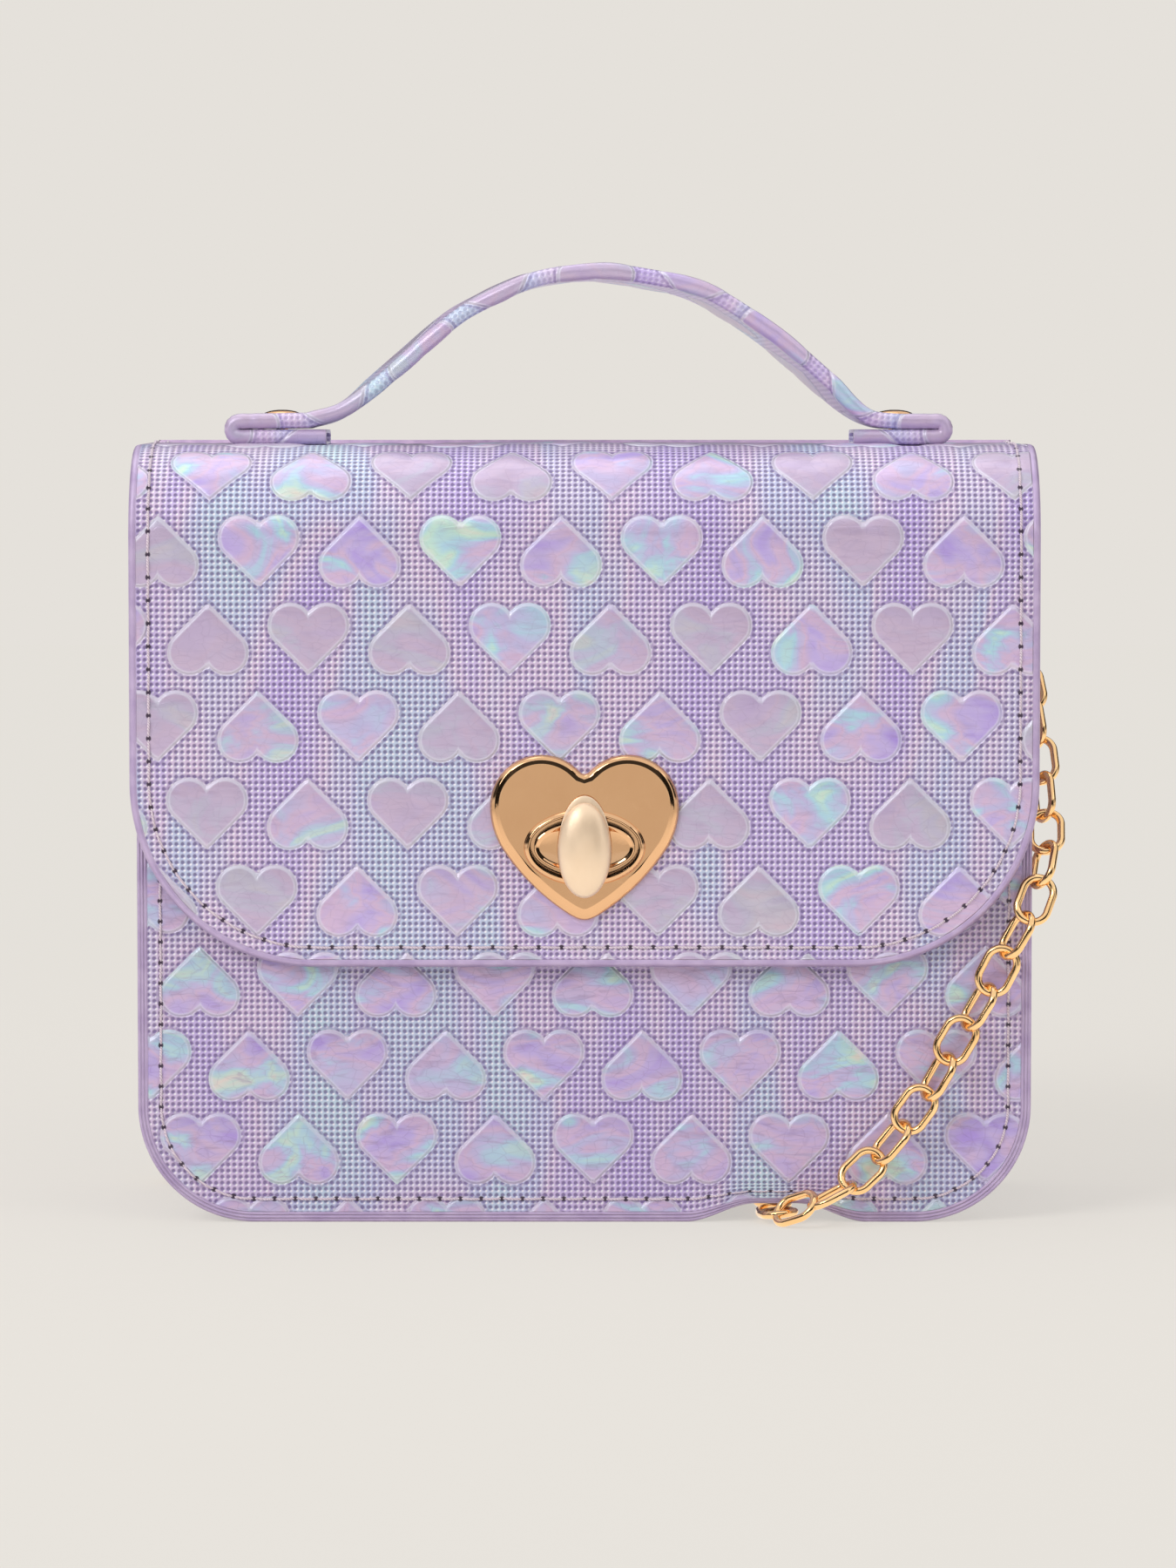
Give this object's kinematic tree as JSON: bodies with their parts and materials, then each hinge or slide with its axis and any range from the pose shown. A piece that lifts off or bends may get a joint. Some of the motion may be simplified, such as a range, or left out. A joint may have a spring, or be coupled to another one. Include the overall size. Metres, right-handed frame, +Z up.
{
  "type": "satchel",
  "caption": "Small structured satchel with rounded panels, a flap with a heart-shaped turn lock, a short top handle and a shoulder chain laid under and behind it.",
  "frame": {"origin": "centre of the bounding box of all but the chain, on the surface it stands on", "axes": "+Z up, the flap and its lock face -Y, +X to the right as seen from the front"},
  "size_m": [0.176, 0.1334, 0.1823],
  "materials": {
    "leather": "embossed imitation leather with a pearly sheen",
    "leather_back": "plain matt backing",
    "cloth": "woven lining",
    "card": "pressed board",
    "gold": "polished light rose gold plating"
  },
  "bodies": {
    "bag": {"front_panel": "leather", "back_panel": "leather", "gusset": "leather", "lining": "cloth", "base_board": "card", "lock_base": "gold", "lock_washer": "gold", "d_tab_left": "leather", "d_tab_right": "leather", "tab_rivet_left": "gold", "tab_rivet_right": "gold", "chain_drop": "gold", "chain_run": "gold", "chain_coil": "gold", "chain_rise": "gold"},
    "roof": {"flap_roof": "leather", "flap_roof_lining": "leather_back", "handle_strap": "leather", "rivet_cap_left": "gold", "rivet_cap_right": "gold", "rivet_back_left": "gold", "rivet_back_right": "gold"},
    "front": {"flap_front": "leather", "flap_front_lining": "leather_back", "heart_plate": "gold", "heart_backing": "gold"},
    "knob": {"turn_knob": "gold", "knob_clip": "gold"},
    "ring_left": {"d_ring_left": "gold"},
    "ring_right": {"d_ring_right": "gold"}
  },
  "joints": [
    {"name": "lift_roof", "type": "hinge", "parent": "bag", "child": "roof", "pos_m": [0, 0.0327, 0.1475], "axis": [-1, 0, 0], "range_deg": [0, 100]},
    {"name": "swing_front", "type": "hinge", "parent": "roof", "child": "front", "pos_m": [0, -0.02233, 0.14123], "axis": [-1, 0, 0], "range_deg": [0, 90]},
    {"name": "turn_lock", "type": "hinge", "parent": "bag", "child": "knob", "pos_m": [0, -0.0237, 0.0713], "axis": [0, -1, 0], "range_deg": [0, 90]},
    {"name": "swing_ring_left", "type": "hinge", "parent": "bag", "child": "ring_left", "pos_m": [-0.0797, 0.0053, 0.124], "axis": [0, 1, 0], "range_deg": [0, 60], "deforming": ["chain_rise"]},
    {"name": "swing_ring_right", "type": "hinge", "parent": "bag", "child": "ring_right", "pos_m": [0.0797, 0.0053, 0.124], "axis": [0, -1, 0], "range_deg": [0, 60], "deforming": ["chain_drop"]}
  ]
}
